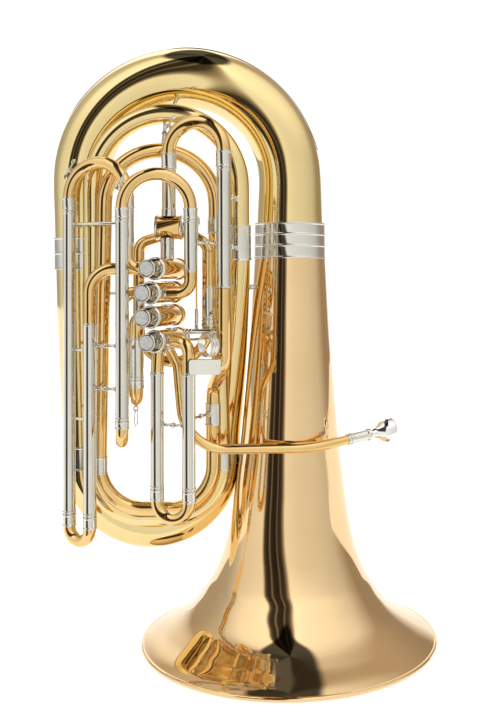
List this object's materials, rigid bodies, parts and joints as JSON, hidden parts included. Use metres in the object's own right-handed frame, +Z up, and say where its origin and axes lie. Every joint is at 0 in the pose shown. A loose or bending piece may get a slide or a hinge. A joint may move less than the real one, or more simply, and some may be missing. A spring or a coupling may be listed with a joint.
{
  "type": "contrabass tuba",
  "caption": "Front-action piston tuba with a rotary thumb valve, standing on its wide bell; brass bows, nickel slide tubes, leadpipe and silver mouthpiece.",
  "frame": {"origin": "centre of the bell mouth, on the floor it stands on", "axes": "+Z up along the bell's axis from its mouth to the big bow, X across the body with the bows towards -X, Y through the body with the valve buttons towards -Y; right-handed"},
  "size_m": [0.6528, 0.5, 1.0085],
  "materials": {
    "bell_brass": "lacquered polished gold brass",
    "brass": "lacquered polished yellow brass",
    "nickel": "polished nickel silver",
    "silver": "silver plate",
    "spring_steel": "spring steel",
    "valve_metal": "nickel plated piston"
  },
  "bodies": {
    "horn": {"bell": "bell_brass", "bell_rim": "bell_brass", "ferrules": "nickel", "bottom_bow": "brass", "bow_guard": "nickel", "left_branch": "brass", "top_bow": "brass", "right_branch": "brass", "inner_bow_outer": "brass", "inner_bow_inner": "brass", "lower_bow_outer": "brass", "lower_bow_inner": "brass", "main_tail": "brass", "leadpipe": "brass", "receiver": "nickel", "casing_1": "brass", "casing_2": "brass", "casing_3": "brass", "casing_4": "brass", "caps": "nickel", "spring_1": "spring_steel", "spring_2": "spring_steel", "spring_3": "spring_steel", "spring_4": "spring_steel", "rotary_casing": "brass", "rotary_caps": "nickel", "lever_mount": "nickel", "hand_plate": "nickel", "tubes_1": "brass", "tubes_2": "brass", "tubes_3": "brass", "tubes_4": "brass", "tubes_5": "brass", "sleeves": "nickel", "braces": "nickel"},
    "valve_1": {"piston_1": "valve_metal", "button_1": "nickel"},
    "valve_2": {"piston_2": "valve_metal", "button_2": "nickel"},
    "valve_3": {"piston_3": "valve_metal", "button_3": "nickel"},
    "valve_4": {"piston_4": "valve_metal", "button_4": "nickel"},
    "rotor_body": {"rotor": "valve_metal"},
    "rod_body": {"linkage_rod": "nickel"},
    "lever_body": {"thumb_lever": "nickel"},
    "mouthpiece_body": {"mouthpiece": "silver"},
    "main_slide_body": {"main_slide": "brass"},
    "slide_1_body": {"slide_1": "brass"},
    "slide_2_body": {"slide_2": "brass"},
    "slide_3_body": {"slide_3": "brass"},
    "slide_3_lower_body": {"slide_3_lower": "brass"},
    "slide_4_body": {"slide_4": "brass"},
    "slide_4_lower_body": {"slide_4_lower": "brass"},
    "slide_5_body": {"slide_5": "brass"},
    "pull_ring_body": {"pull_ring": "nickel"},
    "key_main_body": {"water_key_main": "nickel"},
    "key_3_body": {"water_key_3": "nickel"},
    "key_4_body": {"water_key_4": "nickel"}
  },
  "joints": [
    {"name": "valve_1_press", "type": "slide", "parent": "horn", "child": "valve_1", "axis": [0.2588, 0.9659, 0], "range_m": [0, 0.02], "stiffness_N_per_m": 200, "springref_m": -0.012, "deforming": ["spring_1"]},
    {"name": "valve_2_press", "type": "slide", "parent": "horn", "child": "valve_2", "axis": [0.2588, 0.9659, 0], "range_m": [0, 0.02], "stiffness_N_per_m": 200, "springref_m": -0.012, "deforming": ["spring_2"]},
    {"name": "valve_3_press", "type": "slide", "parent": "horn", "child": "valve_3", "axis": [0.2588, 0.9659, 0], "range_m": [0, 0.02], "stiffness_N_per_m": 200, "springref_m": -0.012, "deforming": ["spring_3"]},
    {"name": "valve_4_press", "type": "slide", "parent": "horn", "child": "valve_4", "axis": [0.2588, 0.9659, 0], "range_m": [0, 0.02], "stiffness_N_per_m": 200, "springref_m": -0.012, "deforming": ["spring_4"]},
    {"name": "thumb_lever_turn", "type": "hinge", "parent": "horn", "child": "lever_body", "pos_m": [-0.134, -0.142, 0.532], "axis": [-1, 0, 0], "range_deg": [0, 28], "stiffness_Nm_per_rad": 0.25, "springref_deg": -28.65},
    {"name": "stop_rod_pull", "type": "slide", "parent": "horn", "child": "rod_body", "axis": [0, 0, -1], "range_m": [0, 0.0142]},
    {"name": "rotor_turn", "type": "hinge", "parent": "horn", "child": "rotor_body", "pos_m": [-0.1894, -0.11, 0.696], "axis": [1, 0, 0], "range_deg": [0, 92]},
    {"name": "main_slide_pull", "type": "slide", "parent": "horn", "child": "main_slide_body", "axis": [0, 0, 1], "range_m": [0, 0.045]},
    {"name": "slide_1_pull", "type": "slide", "parent": "horn", "child": "slide_1_body", "axis": [0, 0, -1], "range_m": [0, 0.15]},
    {"name": "slide_2_pull", "type": "slide", "parent": "horn", "child": "slide_2_body", "axis": [0, 0, -1], "range_m": [0, 0.045]},
    {"name": "slide_3_pull", "type": "slide", "parent": "horn", "child": "slide_3_body", "axis": [0, 0, 1], "range_m": [0, 0.06]},
    {"name": "slide_3_lower_pull", "type": "slide", "parent": "horn", "child": "slide_3_lower_body", "axis": [0, 0, -1], "range_m": [0, 0.12]},
    {"name": "slide_4_pull", "type": "slide", "parent": "horn", "child": "slide_4_body", "axis": [0, 0, 1], "range_m": [0, 0.045]},
    {"name": "slide_4_lower_pull", "type": "slide", "parent": "horn", "child": "slide_4_lower_body", "axis": [0, 0, -1], "range_m": [0, 0.16]},
    {"name": "slide_5_pull", "type": "slide", "parent": "horn", "child": "slide_5_body", "axis": [0, 0, -1], "range_m": [0, 0.04]},
    {"name": "mouthpiece_pull", "type": "slide", "parent": "horn", "child": "mouthpiece_body", "axis": [0.8673, 0.4818, 0.1251], "range_m": [0, 0.06]},
    {"name": "water_key_main_turn", "type": "hinge", "parent": "main_slide_body", "child": "key_main_body", "pos_m": [-0.18942, -0.11499, 0.85668], "axis": [0.3165, 0.9486, 0], "range_deg": [0, 12], "stiffness_Nm_per_rad": 0.02, "springref_deg": -22.92},
    {"name": "water_key_3_turn", "type": "hinge", "parent": "slide_3_body", "child": "key_3_body", "pos_m": [-0.25289, -0.17217, 0.76523], "axis": [-0.1831, 0.9831, 0], "range_deg": [0, 12], "stiffness_Nm_per_rad": 0.02, "springref_deg": -22.92},
    {"name": "water_key_4_turn", "type": "hinge", "parent": "slide_4_body", "child": "key_4_body", "pos_m": [-0.3518, -0.09548, 0.78904], "axis": [0.373, 0.9278, 0], "range_deg": [0, 12], "stiffness_Nm_per_rad": 0.02, "springref_deg": -22.92},
    {"name": "pull_ring_swing", "type": "hinge", "parent": "slide_2_body", "child": "pull_ring_body", "pos_m": [-0.2405, -0.12, 0.4075], "axis": [0, 1, 0], "range_deg": [-12, 12]}
  ],
  "couplings": [
    {"joint": "rotor_turn", "follows": "thumb_lever_turn", "ratio": 3.2143},
    {"joint": "stop_rod_pull", "follows": "thumb_lever_turn", "m_per_rad": 0.0288}
  ]
}
